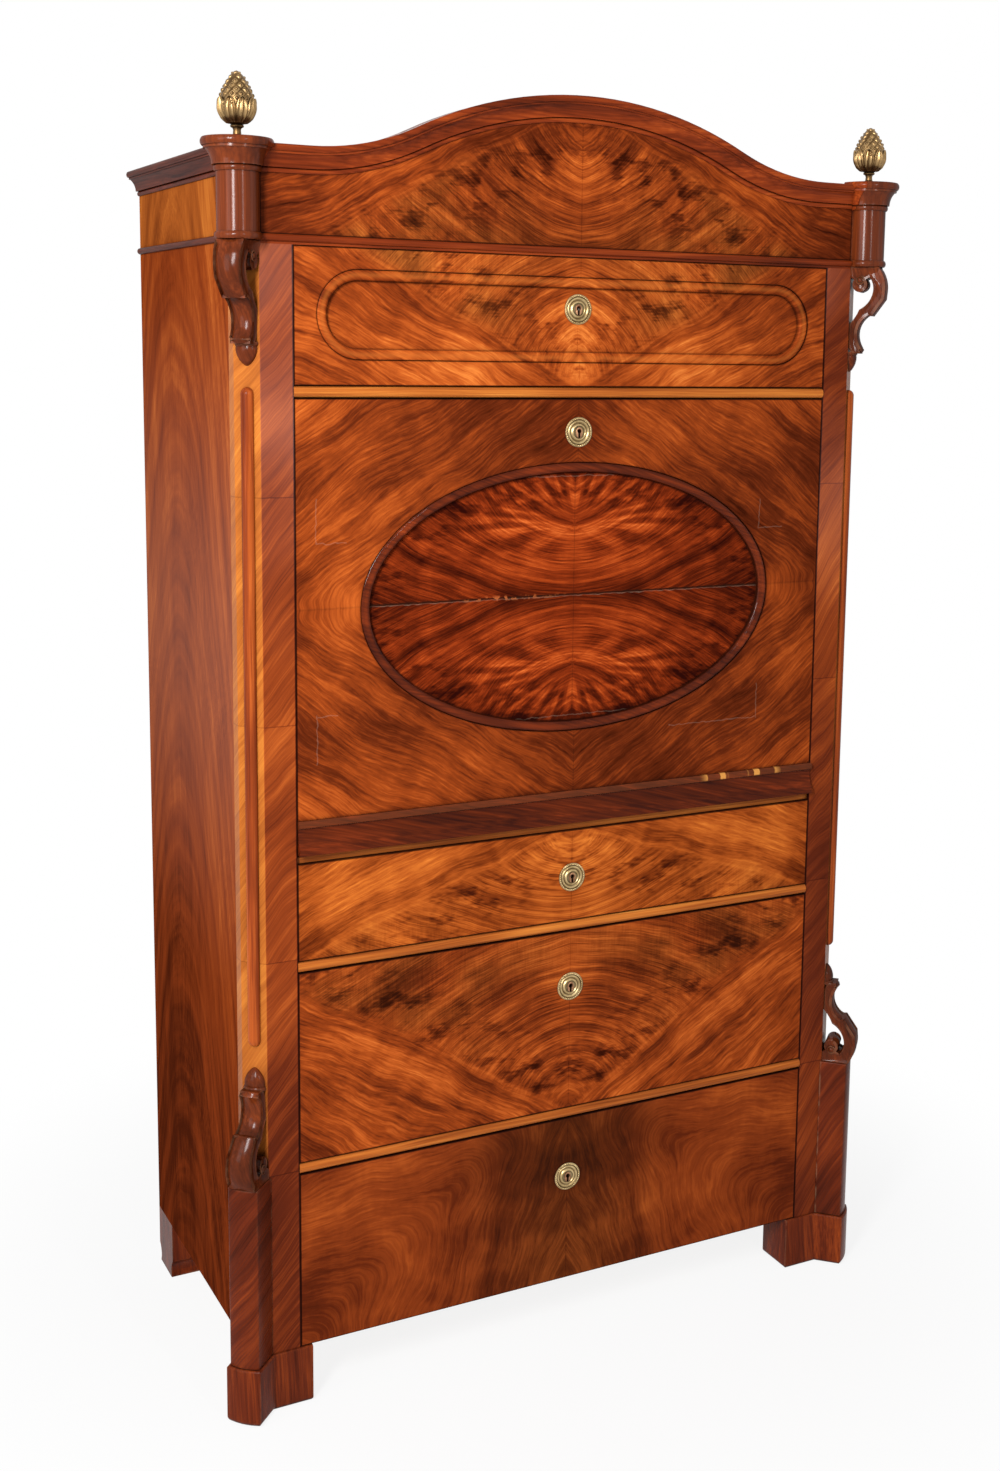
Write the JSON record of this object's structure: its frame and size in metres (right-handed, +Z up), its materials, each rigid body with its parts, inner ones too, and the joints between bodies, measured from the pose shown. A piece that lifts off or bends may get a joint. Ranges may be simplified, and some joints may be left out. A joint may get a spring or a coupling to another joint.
{
  "type": "fall-front secretary",
  "caption": "Free-standing fall-front writing cabinet with arched pediment drawer, drawers above and below a hinged writing fall, scroll consoles on canted corners and a fitted interior.",
  "frame": {"origin": "on the floor, at the centre of the outline seen from above", "axes": "+Z up, +X to the right as seen by someone facing the front, -Y out of the front"},
  "size_m": [1.024, 0.506, 1.735],
  "materials": {
    "flame_veneer": "polished",
    "side_veneer": "polished",
    "post_veneer": "polished",
    "mahogany": "polished",
    "nosing": "polished",
    "pine": "raw",
    "interior_veneer": "satin",
    "brass": "polished",
    "iron": "satin",
    "leather": "satin"
  },
  "bodies": {
    "carcass": {"left_side_panel": "side_veneer", "right_side_panel": "side_veneer", "bottom_board": "pine", "top_board": "pine", "writing_bed": "interior_veneer", "back_boards": "pine", "upper_shelf": "pine", "compartment_linings": "interior_veneer", "left_corner_post": "post_veneer", "right_corner_post": "post_veneer", "pivot_pins": "brass", "drawer_rails": "nosing", "drawer_runners": "pine", "frieze_shelf": "mahogany", "corner_columns": "mahogany", "finials": "brass", "side_mouldings": "mahogany", "upper_consoles": "mahogany", "lower_consoles": "mahogany", "corner_rods": "mahogany", "pedestals": "post_veneer", "front_feet": "post_veneer", "rear_feet": "post_veneer", "stage_uprights": "interior_veneer", "stage_shelves": "interior_veneer"},
    "pediment_drawer": {"pediment_front": "flame_veneer", "pediment_cornice": "mahogany", "pediment_box": "pine"},
    "top_drawer": {"top_drawer_front": "flame_veneer", "top_drawer_moulding": "mahogany", "top_drawer_box": "pine", "top_drawer_escutcheon": "brass", "top_drawer_lock": "iron"},
    "fall": {"fall_panel": "flame_veneer", "fall_base_moulding": "mahogany", "fall_oval_moulding": "mahogany", "writing_leather": "leather", "fall_escutcheon": "brass", "fall_lock": "iron"},
    "upper_drawer": {"upper_drawer_front": "flame_veneer", "upper_drawer_box": "pine", "upper_drawer_escutcheon": "brass", "upper_drawer_lock": "iron"},
    "middle_drawer": {"middle_drawer_front": "flame_veneer", "middle_drawer_box": "pine", "middle_drawer_escutcheon": "brass", "middle_drawer_lock": "iron"},
    "bottom_drawer": {"bottom_drawer_front": "flame_veneer", "bottom_drawer_box": "pine", "bottom_drawer_escutcheon": "brass", "bottom_drawer_lock": "iron"},
    "left_lower_small_drawer": {"left_lower_small_drawer": "interior_veneer"},
    "left_upper_small_drawer": {"left_upper_small_drawer": "interior_veneer"},
    "right_lower_small_drawer": {"right_lower_small_drawer": "interior_veneer"},
    "right_upper_small_drawer": {"right_upper_small_drawer": "interior_veneer"},
    "top_drawer_bolt": {"top_drawer_bolt": "iron"},
    "fall_bolt": {"fall_bolt": "iron"},
    "upper_drawer_bolt": {"upper_drawer_bolt": "iron"},
    "middle_drawer_bolt": {"middle_drawer_bolt": "iron"},
    "bottom_drawer_bolt": {"bottom_drawer_bolt": "iron"}
  },
  "joints": [
    {"name": "pediment_drawer_slide", "type": "slide", "parent": "carcass", "child": "pediment_drawer", "axis": [0, -1, 0], "range_m": [0, 0.26]},
    {"name": "top_drawer_slide", "type": "slide", "parent": "carcass", "child": "top_drawer", "axis": [0, -1, 0], "range_m": [0, 0.3]},
    {"name": "fall_hinge", "type": "hinge", "parent": "carcass", "child": "fall", "pos_m": [0, -0.202, 0.8], "axis": [1, 0, 0], "range_deg": [0, 90]},
    {"name": "upper_drawer_slide", "type": "slide", "parent": "carcass", "child": "upper_drawer", "axis": [0, -1, 0], "range_m": [0, 0.3]},
    {"name": "middle_drawer_slide", "type": "slide", "parent": "carcass", "child": "middle_drawer", "axis": [0, -1, 0], "range_m": [0, 0.3]},
    {"name": "bottom_drawer_slide", "type": "slide", "parent": "carcass", "child": "bottom_drawer", "axis": [0, -1, 0], "range_m": [0, 0.3]},
    {"name": "left_lower_small_drawer_slide", "type": "slide", "parent": "carcass", "child": "left_lower_small_drawer", "axis": [0, -1, 0], "range_m": [0, 0.115]},
    {"name": "left_upper_small_drawer_slide", "type": "slide", "parent": "carcass", "child": "left_upper_small_drawer", "axis": [0, -1, 0], "range_m": [0, 0.115]},
    {"name": "right_lower_small_drawer_slide", "type": "slide", "parent": "carcass", "child": "right_lower_small_drawer", "axis": [0, -1, 0], "range_m": [0, 0.115]},
    {"name": "right_upper_small_drawer_slide", "type": "slide", "parent": "carcass", "child": "right_upper_small_drawer", "axis": [0, -1, 0], "range_m": [0, 0.115]},
    {"name": "top_drawer_bolt_slide", "type": "slide", "parent": "top_drawer", "child": "top_drawer_bolt", "axis": [0, 0, 1], "range_m": [0, 0.007]},
    {"name": "fall_bolt_slide", "type": "slide", "parent": "fall", "child": "fall_bolt", "axis": [0, 0, 1], "range_m": [0, 0.007]},
    {"name": "upper_drawer_bolt_slide", "type": "slide", "parent": "upper_drawer", "child": "upper_drawer_bolt", "axis": [0, 0, 1], "range_m": [0, 0.007]},
    {"name": "middle_drawer_bolt_slide", "type": "slide", "parent": "middle_drawer", "child": "middle_drawer_bolt", "axis": [0, 0, 1], "range_m": [0, 0.007]},
    {"name": "bottom_drawer_bolt_slide", "type": "slide", "parent": "bottom_drawer", "child": "bottom_drawer_bolt", "axis": [0, 0, 1], "range_m": [0, 0.007]}
  ]
}
